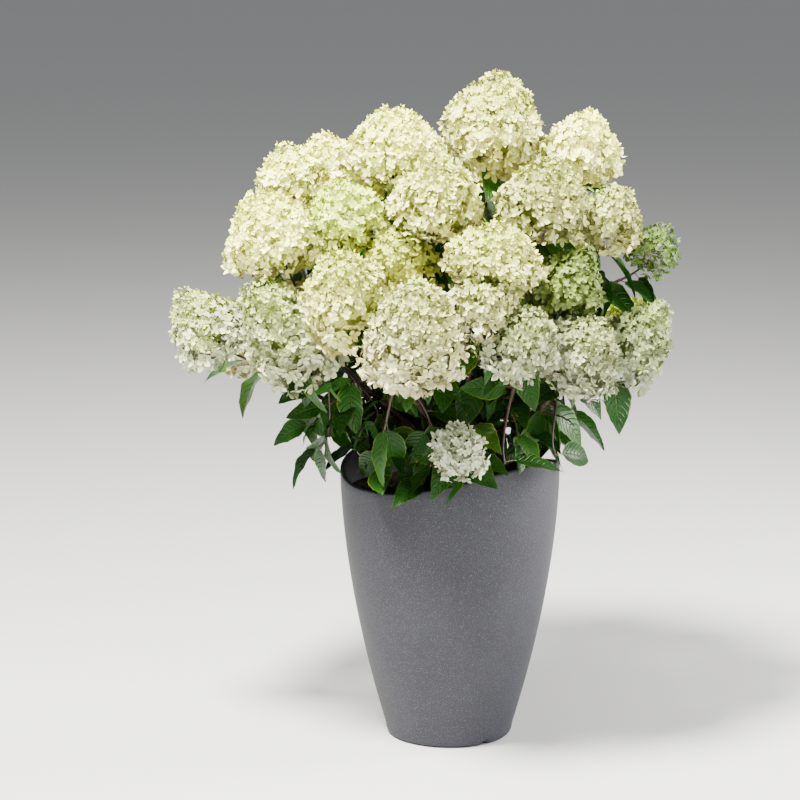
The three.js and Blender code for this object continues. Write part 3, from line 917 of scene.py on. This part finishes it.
# Florets
floret = {
    "spacing": 6.5,
    "thinning": 0.4,
    "lowSize": 14.4,
    "highSize": 5.2,
    "vary": (0.66, 1.22),
    "crowdedSize": 0.55,
    "crowdedThinning": 0.15,
    "tilt": 0.82,
    "lift": (-3.0, 9.0),
    "lowLooseness": 2.0,
    "highLooseness": 0.5,
    "stalk": 0.9,
    "stalkRadius": 0.05,
    "petalEdge": ((0.26, 0.62), (0.60, 1.0), (0.90, 0.60)),
    "petalTip": 1.08,
    "petalMiddle": 0.54,
    "petalDish": 0.07,
    "petalOverlap": 0.05,
    "deepSpacing": 11.5,
    "outerDepth": 11,
    "deepDepth": 23,
    "coreDepth": 33,
    "shapes": [
        {"cup": 0.12, "twist": 0.0, "width": 0.42},
        {"cup": 0.30, "twist": 0.2, "width": 0.40},
        {"cup": -0.14, "twist": -0.15, "width": 0.43},
        {"cup": 0.55, "twist": 0.1, "width": 0.39},
    ],
}
# petals by tint: the blade's colour, its colour toward the head's tip, and the throat's. Every tint but cream,
# lime and green is set darker than the florets really are, for heads that get less light: the hue is the
# florets' own, and the darkness is partly painted shade.
tints = {
    "cream": {"petal": (0.97, 0.94, 0.43), "tip": (0.82, 0.85, 0.13), "throat": (0.45, 0.51, 0.055)},
    # cream set darker: painted shade
    "soft": {"petal": (0.81, 0.785, 0.34), "tip": (0.589, 0.617, 0.1), "throat": (0.299, 0.342, 0.038)},
    "ivory": {"petal": (0.66, 0.63, 0.39), "tip": (0.484, 0.513, 0.133), "throat": (0.259, 0.297, 0.053)},
    "cool": {"petal": (0.405, 0.425, 0.305), "tip": (0.31, 0.357, 0.108), "throat": (0.19, 0.245, 0.048)},
    "mist": {"petal": (0.53, 0.56, 0.375), "tip": (0.442, 0.517, 0.122), "throat": (0.286, 0.361, 0.055)},
    "sage": {"petal": (0.345, 0.385, 0.25), "tip": (0.254, 0.324, 0.066), "throat": (0.164, 0.225, 0.033)},
    "straw": {"petal": (0.54, 0.535, 0.225), "tip": (0.396, 0.423, 0.078), "throat": (0.219, 0.255, 0.032)},
    "pearl": {"petal": (0.648, 0.675, 0.504), "tip": (0.45, 0.495, 0.324), "throat": (0.285, 0.342, 0.142)},
    "lime": {"petal": (0.8, 0.87, 0.24), "tip": (0.588, 0.725, 0.059), "throat": (0.406, 0.485, 0.031)},
    "honey": {"petal": (0.54, 0.55, 0.125), "tip": (0.46, 0.49, 0.065), "throat": (0.37, 0.42, 0.04)},
    "moss": {"petal": (0.16, 0.21, 0.047), "tip": (0.145, 0.205, 0.028), "throat": (0.13, 0.185, 0.022)},
    "green": {"petal": (0.098, 0.162, 0.025), "tip": (0.085, 0.151, 0.017), "throat": (0.034, 0.065, 0.005)},
}
# the lowest head is small, with small florets close together
smallHead = {"tint": "pearl", "spacing": 5.6, "lowSize": 11.0, "highSize": 6.5}
# the youngest head is still open: small florets on bare branchlets
openHead = {
    "tint": "green",
    "spacing": 8.6,
    "lowSize": 10,
    "highSize": 6.4,
    "deepSpacing": 15,
    "branchlets": 70,
    "branchletRadii": (1.04, 0.8, 0.56),
    "branchletReach": 0.9,
    "seed": 31,
}


# Each petal is a rounded blade of eight faces, dished a little and lifted by the cup, on a thin stalk
def floretMesh(name, shape):
    corners = [(0, 0, 0.0)]
    uvs = [(0.0, 0.0)]
    faces = []
    edge = [(r, w * shape["width"]) for r, w in floret["petalEdge"]]
    outline = [(r, -w) for r, w in edge] + [(floret["petalTip"], 0.0)] + edge[::-1]
    for k in range(4):
        angle = k * math.pi / 2 + shape["twist"] * (k % 2)
        first = len(corners)
        rib = first + len(outline)
        for r, w in outline + [(floret["petalMiddle"], 0.0)]:
            dish = floret["petalDish"] if len(corners) == rib else 0.0
            z = shape["cup"] * r * r + floret["petalOverlap"] * (k % 2) - dish
            x = r * math.cos(angle) - w * math.sin(angle)
            y = r * math.sin(angle) + w * math.cos(angle)
            corners.append((x, y, z))
            uvs.append((k / 4, math.hypot(r, w)))
        ring = [0] + [first + i for i in range(len(outline))]
        for a, b in zip(ring, ring[1:] + ring[:1]):
            faces.append((a, b, rib))
    foot = len(corners)
    for k in range(3):
        corners.append(tuple(polar(2.1 * k, floret["stalkRadius"], -floret["stalk"])))
        uvs.append((0.0, 0.0))
    for k in range(3):
        faces.append((0, foot + k, foot + (k + 1) % 3))
    faces.append((foot, foot + 2, foot + 1))
    return makeMesh(name, corners, faces, uvs)


# A petal is greener at the floret's throat and toward the head's tip; it is painted darker in the hollows
# between florets, on florets sunk below their neighbours and where two heads press together, which is painted
# shade
petalToneAndShade = {
    "throat": (0.05, 0.55),
    "ripe": (0.12, 0.85),
    "ripeness": 0.85,
    # the petal's colour darkened for the hollows between florets: painted shade
    "hollowShade": (0.6, 0.56, 0.48),
    "sunkFrom": 0.4,
    "sunkShadeStrength": 0.9,
    "creaseFrom": 0.15,
    "creaseStrength": 0.95,
    "creaseShade": 0.62,
    "deepShade": 0.75,
    "coreShade": 0.6,
}


def shaded(color, factor):
    return tuple(channel * factor for channel in color)


def petalMaterial(name, tone):
    toneAndShade = petalToneAndShade
    material, tree, surface = newMaterial(name, 0.55, 0.3)
    opening = rangeNode(tree, splitUv(tree)["Y"], *toneAndShade["throat"])
    ripe = rangeNode(tree, meshValue(tree, "share"), *toneAndShade["ripe"], 0.0, toneAndShade["ripeness"])
    blade = mixNode(tree, ripe, tone["petal"], tone["tip"])
    cloud = addMottle(tree, blade, tone["tip"], 28, 0.48, 0.78).outputs["Color"]
    # the throat colour: high on a head mostly the throat's own green, low on a head the petal's colour darkened
    # and warmed, which is painted shade for the hollows between florets
    hollowShade = tuple(channel * factor for channel, factor in zip(tone["petal"], toneAndShade["hollowShade"]))
    throatAndShade = mixNode(tree, ripe, hollowShade, tone["throat"])
    # florets sunk below their neighbours are painted toward that darker colour: painted shade
    depth = rangeNode(tree, meshValue(tree, "sunk"), toneAndShade["sunkFrom"], 1.0, 0.0, toneAndShade["sunkShadeStrength"])
    sunkShaded = mixNode(tree, depth, cloud, throatAndShade)
    # where two heads press together the join between them is painted dark: painted shade
    creaseShadeMask = rangeNode(tree, meshValue(tree, "crowd"), toneAndShade["creaseFrom"], 1.0, 0.0, toneAndShade["creaseStrength"])
    creaseShaded = mixNode(tree, creaseShadeMask, sunkShaded, shaded(tone["throat"], toneAndShade["creaseShade"]))
    feed(tree, surface.inputs["Base Color"], mixNode(tree, opening, throatAndShade, creaseShaded))
    return material


# Geometry Nodes: florets spread evenly over the heads' skins, larger and looser low on a head
def floretTree(sources):
    tree = bpy.data.node_groups.new("floretsOnHeads", "GeometryNodeTree")
    addSocket(tree, "Geometry", "INPUT", "NodeSocketGeometry")
    addSocket(tree, "Spacing", "INPUT", "NodeSocketFloat", 0.012)
    addSocket(tree, "Thinning", "INPUT", "NodeSocketFloat", 0.5)
    addSocket(tree, "Low Size", "INPUT", "NodeSocketFloat", 17.0)
    addSocket(tree, "High Size", "INPUT", "NodeSocketFloat", 11.0)
    addSocket(tree, "Tilt", "INPUT", "NodeSocketFloat", 0.5)
    addSocket(tree, "Lift Low", "INPUT", "NodeSocketFloat", 0.0)
    addSocket(tree, "Lift High", "INPUT", "NodeSocketFloat", 0.0)
    addSocket(tree, "Seed", "INPUT", "NodeSocketInt", 1)
    addSocket(tree, "Material", "INPUT", "NodeSocketMaterial")
    addSocket(tree, "Geometry", "OUTPUT", "NodeSocketGeometry")
    given = newNode(tree, "NodeGroupInput").outputs
    seed = given["Seed"]
    share = readValue(tree, "share")
    crowd = readValue(tree, "crowd")
    # fewer florets low on a head, and fewer still where two heads press together
    thin = rangeNode(tree, share, 0.0, 0.7, given["Thinning"], 1.0)
    sparse = rangeNode(tree, crowd, 0.25, 1.0, 1.0, floret["crowdedThinning"])
    spread = newNode(tree, "GeometryNodeDistributePointsOnFaces", {
        "Mesh": given["Geometry"],
        "Distance Min": given["Spacing"],
        "Density Max": 40000,
        "Density Factor": mathNode(tree, "MULTIPLY", thin, sparse),
        "Seed": seed,
    }, distribute_method="POISSON").outputs
    size = rangeNode(tree, share, 0.0, 1.0, given["Low Size"], given["High Size"])
    slighter = rangeNode(tree, crowd, 0.0, 1.0, 1.0, floret["crowdedSize"])
    vary = randomValue(tree, *floret["vary"], seed)
    scaled = mathNode(tree, "MULTIPLY", mathNode(tree, "MULTIPLY", size, slighter), vary)
    # each floret nods to a side and turns on its stalk
    tilt = given["Tilt"]
    back = mathNode(tree, "MULTIPLY", tilt, -1.0)
    low = newNode(tree, "ShaderNodeCombineXYZ", {"X": back, "Y": back}).outputs["Vector"]
    high = newNode(tree, "ShaderNodeCombineXYZ", {"X": tilt, "Y": tilt, "Z": 2 * math.pi}).outputs["Vector"]
    swing = randomValue(tree, low, high, seed, "FLOAT_VECTOR")
    nod = newNode(tree, "FunctionNodeEulerToRotation", {"Euler": swing}).outputs["Rotation"]
    turned = newNode(tree, "FunctionNodeRotateRotation", {
        "Rotation": spread["Rotation"],
        "Rotate By": nod,
    }, rotation_space="LOCAL").outputs["Rotation"]
    # its height over the skin is kept as a mark, from proud to sunk
    rise = randomValue(tree, given["Lift Low"], given["Lift High"], seed)
    looser = rangeNode(tree, share, 0.0, 1.0, floret["lowLooseness"], floret["highLooseness"])
    outward = newNode(tree, "ShaderNodeVectorMath", {
        "Vector": spread["Normal"],
        "Scale": mathNode(tree, "MULTIPLY", rise, looser),
    }, operation="SCALE").outputs["Vector"]
    marked = newNode(tree, "GeometryNodeStoreNamedAttribute", {
        "Geometry": spread["Points"],
        "Name": "sunk",
        "Value": rangeNode(tree, rise, given["Lift High"], given["Lift Low"]),
    }, data_type="FLOAT", domain="POINT").outputs["Geometry"]
    raised = newNode(tree, "GeometryNodeSetPosition", {"Geometry": marked, "Offset": outward})
    placeShapes(tree, given, sources, {
        "Points": raised.outputs["Geometry"],
        "Rotation": turned,
        "Scale": scaled,
    })
    return tree


# Under the florets: a blunt cone with its widest part low, lumpy where side shoots of the head swell
skin = {
    "sides": 32,
    "rings": 20,
    "from": 0.012,
    "to": 0.987,
    "taper": 0.5,
    "fullness": 0.64,
    "lump": 0.15,
    "lumpScale": 0.024,
    "gap": 1,
    "valley": 0.66,
}


def skinRadius(spec, share):
    wave = math.sin(math.pi * min(max(share, 0.0), 1.0) ** skin["taper"])
    return spec["across"] / 2 * max(wave, 0.0) ** skin["fullness"]


# how far a head reaches from its middle along a direction
def extent(spec, direction):
    along = direction.dot(headAxis(spec))
    return 0.5 / math.sqrt((along / spec["tall"]) ** 2 + (1 - along**2) / spec["across"] ** 2)


# heads that press together flatten against each other, each on its own side
def keepOwnSide(point, spec, rivals, gap):
    middle = headMiddle(spec)
    crowding = 0.0
    for rival in rivals:
        toward = headMiddle(rival) - middle
        distance = toward.length
        direction = toward / distance
        own = extent(spec, direction)
        limit = distance * own / (own + extent(rival, direction)) - gap
        along = (point - middle).dot(toward) / distance
        start = limit * skin["valley"]
        if along > start:
            room = limit - start
            soft = start + room * (1 - math.exp(-(along - start) / room))
            point = middle.lerp(point, soft / along)
            crowding = max(crowding, (soft - start) / room)
    return point, crowding


def headSkin(name, heads, depth):
    corners = []
    faces = []
    marks = {"share": [], "crowd": []}
    sides = skin["sides"]
    for spec in heads:
        rivals = [other for other in allHeads if other is not spec]
        middle = headMiddle(spec)
        aim = up.rotation_difference(headAxis(spec))
        shrink = 1 - 2 * depth / spec["across"]
        base = len(corners)
        for i in range(skin["rings"] + 1):
            share = skin["from"] + (skin["to"] - skin["from"]) * i / skin["rings"]
            for k in range(sides):
                around = 2 * math.pi * k / sides
                local = polar(around, skinRadius(spec, share) * shrink, (share - 0.5) * spec["tall"] * shrink)
                local *= 1 + skin["lump"] * noise.noise((local + middle) * skin["lumpScale"])
                point, crowding = keepOwnSide(aim @ local + middle, spec, rivals, skin["gap"])
                corners.append(point)
                marks["share"].append(share)
                marks["crowd"].append(crowding)
        faces += ringFaces(base, skin["rings"] + 1, sides)
    mesh = makeMesh(name, corners, faces)
    for key, values in marks.items():
        mesh.attributes.new(key, "FLOAT", "POINT")
        for i, value in enumerate(values):
            mesh.attributes[key].data[i].value = value
    return mesh


# The open head's bare branchlets, from its axis out to its florets
def addBranchlets(wood, spec, rng):
    middle = headMiddle(spec)
    aim = up.rotation_difference(headAxis(spec))
    for _ in range(openHead["branchlets"]):
        share = rng.uniform(0.06, 0.97)
        around = rng.uniform(0, 2 * math.pi)
        reach = skinRadius(spec, share) * openHead["branchletReach"]
        root = middle + headAxis(spec) * (share * 0.8 - 0.5) * spec["tall"]
        tip = middle + aim @ polar(around, reach, (share - 0.5) * spec["tall"])
        wood.add([root, root.lerp(tip, 0.5) + up * 2, tip], openHead["branchletRadii"], 5)


def buildBranchlets():
    wood = Tubes()
    for spec in allHeads:
        if spec["tint"] == openHead["tint"]:
            addBranchlets(wood, spec, random.Random(openHead["seed"]))
    sap = twigMaterial("branchlet")
    addPiece("branchlets", wood.mesh("branchlets"), sap, ["mass_right"])


# Heads are grown in groups of one tint and one side of the plant
blossom = {"frontBefore": -70, "deepSeed": 50}


def headGroups(tint):
    groups = {"Front": [], "BackLeft": [], "BackRight": []}
    for spec in allHeads:
        if spec["tint"] != tint:
            continue
        middle = headMiddle(spec)
        behind = "BackLeft" if middle.x < crown["middle"].x else "BackRight"
        groups["Front" if middle.y < blossom["frontBefore"] else behind].append(spec)
    return {side: heads for side, heads in groups.items() if heads}


# what a tint's florets use: the small and the open head have their own sizes
def floretValues(tint):
    own = next((special for special in (smallHead, openHead) if special["tint"] == tint), floret)
    return {
        "Spacing": own["spacing"] * metre,
        "Thinning": floret["thinning"],
        "Low Size": own["lowSize"],
        "High Size": own["highSize"],
        "Tilt": floret["tilt"],
        "Lift Low": floret["lift"][0] * metre,
        "Lift High": floret["lift"][1] * metre,
    }


def coreMaterial(name, throat):
    material, tree, surface = newMaterial(name, 0.8)
    depths = addMottle(tree, throat, shaded(throat, petalToneAndShade["coreShade"]), 90)
    feed(tree, surface.inputs["Base Color"], depths.outputs["Color"])
    return material


def addFlorets(name, heads, depth, tree, values, nodes):
    mesh = grow(name, headSkin(name + "Skin", heads, depth), tree, values)
    addPiece(name, mesh, values["Material"], nodes)
    print(name, len(mesh.polygons), "faces")


def buildBlossom():
    sources = hiddenSources([floretMesh(f"floretShape{i}", s) for i, s in enumerate(floret["shapes"])])
    tree = floretTree(sources)
    owner = {id(h): "mass_" + s["name"] for s in sprays for h in s["heads"]}
    seed = 1
    for tint, tone in tints.items():
        title = tint.capitalize()
        # the florets of the layer under the outer one are painted darker: painted shade
        deepShadedTone = {**tone, "petal": shaded(tone["petal"], petalToneAndShade["deepShade"])}
        outer = petalMaterial("petal" + title, tone)
        inner = petalMaterial("petalDeep" + title, deepShadedTone)
        core = coreMaterial("core" + title, tone["throat"])
        for side, heads in headGroups(tint).items():
            nodes = sorted({owner[id(h)] for h in heads})
            seed += 1
            values = {**floretValues(tint), "Seed": seed, "Material": outer}
            addFlorets("florets" + title + side, heads, floret["outerDepth"], tree, values, nodes)
            values["Spacing"] = (openHead if tint == openHead["tint"] else floret)["deepSpacing"] * metre
            values["Seed"] = seed + blossom["deepSeed"]
            values["Material"] = inner
            addFlorets("deepFlorets" + title + side, heads, floret["deepDepth"], tree, values, nodes)
            if tint != openHead["tint"]:
                name = "headCores" + title + side
                addPiece(name, headSkin(name, heads, floret["coreDepth"]), core, nodes)
    removeSources(sources)


# Planter: a smooth wall with a rounded heel and lip, and a fine speckle cast through it
pot = {
    "footRadius": 118,
    "footInset": 14,
    "heelRadius": 129,
    "heelHeight": 20,
    "heelSteps": 6,
    "swell": 1.75,
    "floor": 14,
    "floorRound": 6,
    "floorInset": 2,
    "lip": 4.5,
    "lipSteps": 8,
    "sides": 160,
    "wallRings": 26,
    "notchHeading": 304,
    "notchWidth": 3.2,
    "notchHeight": 8,
    # the wall's colours are set darker than the planter's own grey: partly painted shade for the crown's shadow
    # on the wall
    "grey": (0.0165, 0.0165, 0.0233),
    "worn": (0.0235, 0.0236, 0.033),
    "paleSpeck": (0.062, 0.066, 0.084),
    "darkSpeck": (0.014, 0.014, 0.018),
}


def wallRadius(height):
    below = (rim["height"] - height) / (rim["height"] - pot["heelHeight"])
    return rim["radius"] - (rim["radius"] - pot["heelRadius"]) * max(below, 0.0) ** pot["swell"]


# a small drain notch lifts the foot's edge, and fades out up the heel
def notchLift(heading, radius, height):
    if radius < pot["footRadius"] or height > pot["heelHeight"]:
        return 0.0
    away = math.degrees(heading) - pot["notchHeading"]
    return pot["notchHeight"] * math.exp(-(away / pot["notchWidth"]) ** 2) * (1 - height / pot["heelHeight"])


def lathe(profile, sides):
    corners = []
    for radius, height in profile:
        share = max(0.0, (height - crown["soilTop"]) / (rim["height"] - crown["soilTop"]))
        for k in range(sides):
            heading = 2 * math.pi * k / sides
            lifted = height + share * rimLift(heading) + notchLift(heading, radius, height)
            corners.append(polar(heading, radius, lifted))
    return corners, ringFaces(0, len(profile), sides)


def buildPlanter():
    foot, heelHeight = pot["footRadius"], pot["heelHeight"]
    heel = [(foot - pot["footInset"], 0), (foot, 0)]
    for i in range(1, pot["heelSteps"]):
        angle = math.pi / 2 * i / pot["heelSteps"]
        heel.append((foot + (pot["heelRadius"] - foot) * math.sin(angle), heelHeight * (1 - math.cos(angle))))
    top = rim["height"] - pot["lip"]
    count = pot["wallRings"]
    heights = [heelHeight + (top - heelHeight) * i / count for i in range(count + 1)]
    wall = [(wallRadius(h), h) for h in heights]
    lip = []
    for i in range(1, pot["lipSteps"]):
        angle = math.pi * i / pot["lipSteps"]
        across = rim["radius"] - rim["wall"] / 2 + rim["wall"] / 2 * math.cos(angle)
        lip.append((across, top + pot["lip"] * math.sin(angle)))
    lining = [(wallRadius(h) - rim["wall"], h) for h in reversed(heights[1:])]
    floorRadius = wallRadius(pot["floor"] + pot["floorRound"]) - rim["wall"] - pot["floorInset"]
    corners, faces = lathe(heel + wall + lip + lining + [(floorRadius, pot["floor"])], pot["sides"])
    addPiece("planterWall", makeMesh("planterWall", corners, faces), potMaterial(), ["planter"])


def potMaterial():
    material, tree, surface = newMaterial("speckledWall", 0.56, 0.34)
    base = addMottle(tree, pot["grey"], pot["worn"], 7, 0.35, 0.7)
    pale = addMottle(tree, base.outputs["Color"], pot["paleSpeck"], 560, 0.54, 0.66)
    dark = addMottle(tree, pale.outputs["Color"], pot["darkSpeck"], 420, 0.57, 0.68)
    feed(tree, surface.inputs["Base Color"], dark.outputs["Color"])
    addBump(tree, surface, pale.outputs["Mask"], 0.35, 0.0008)
    return material


# Compost: a crumbled surface inside the wall, on a plug that reaches down it
compost = {
    "rings": 26,
    "sides": 90,
    "middle": 4,
    "gap": 0.6,
    "depth": 60,
    "relief": 7,
    "coarse": 0.05,
    "fine": 0.16,
    "fineShare": 0.6,
    "evenEdge": 12,
    "dark": (0.022, 0.014, 0.009),
    "light": (0.07, 0.045, 0.028),
}


def compostHeight(flat, inward):
    rough = noise.noise(flat * compost["coarse"]) + compost["fineShare"] * noise.noise(flat * compost["fine"])
    return crown["soilTop"] + min(1.0, inward / compost["evenEdge"]) * compost["relief"] * rough


def buildCompost():
    sides, rings, middle = compost["sides"], compost["rings"], compost["middle"]
    headings = [2 * math.pi * k / sides for k in range(sides)]
    edge = wallRadius(crown["soilTop"]) - rim["wall"] - compost["gap"]
    bottom = crown["soilTop"] - compost["depth"]
    bottomRadius = wallRadius(bottom) - rim["wall"] - compost["gap"]
    corners = []
    for i in range(rings + 1):
        radius = middle + (edge - middle) * i / rings
        for heading in headings:
            flat = polar(heading, radius, 0)
            corners.append(flat + up * compostHeight(flat, edge - radius))
    corners += [polar(heading, bottomRadius, bottom) for heading in headings]
    faces = []
    for i in range(rings + 1):
        for k in range(sides):
            a = i * sides + k
            b = i * sides + (k + 1) % sides
            faces.append((a, a + sides, b + sides, b))
    faces.append(tuple(range(sides)))
    faces.append(tuple(len(corners) - sides + k for k in reversed(range(sides))))
    material, tree, surface = newMaterial("compost", 0.95, 0.2)
    crumb = addMottle(tree, compost["dark"], compost["light"], 170, 0.42, 0.62)
    feed(tree, surface.inputs["Base Color"], crumb.outputs["Color"])
    addBump(tree, surface, crumb.outputs["Mask"], 0.8, 0.003)
    addPiece("compostTop", makeMesh("compostTop", corners, faces), material, ["soil"])


# The studio's floor, wide enough that its far edge stays out of sight
floorPlane = {"reach": 90.0, "color": (0.54, 0.54, 0.53), "roughness": 0.85}


def addFloor():
    mesh = bpy.data.meshes.new("floor")
    far = floorPlane["reach"]
    mesh.from_pydata([(-far, -far, 0), (far, -far, 0), (far, far, 0), (-far, far, 0)], [], [(0, 1, 2, 3)])
    floor = bpy.data.objects.new("floor", mesh)
    bpy.context.collection.objects.link(floor)
    material, tree, surface = newMaterial("paleFloor", floorPlane["roughness"])
    feed(tree, surface.inputs["Base Color"], floorPlane["color"])
    mesh.materials.append(material)


addCamera()
addLights()
addFloor()
print("studio ready")
buildPlanter()
buildCompost()
print("planter and compost built")
buildCanes()
print("canes built")
buildLeaves(growFoliage())
print("leaves and twigs built")
buildBranchlets()
buildBlossom()
print("blossom built")
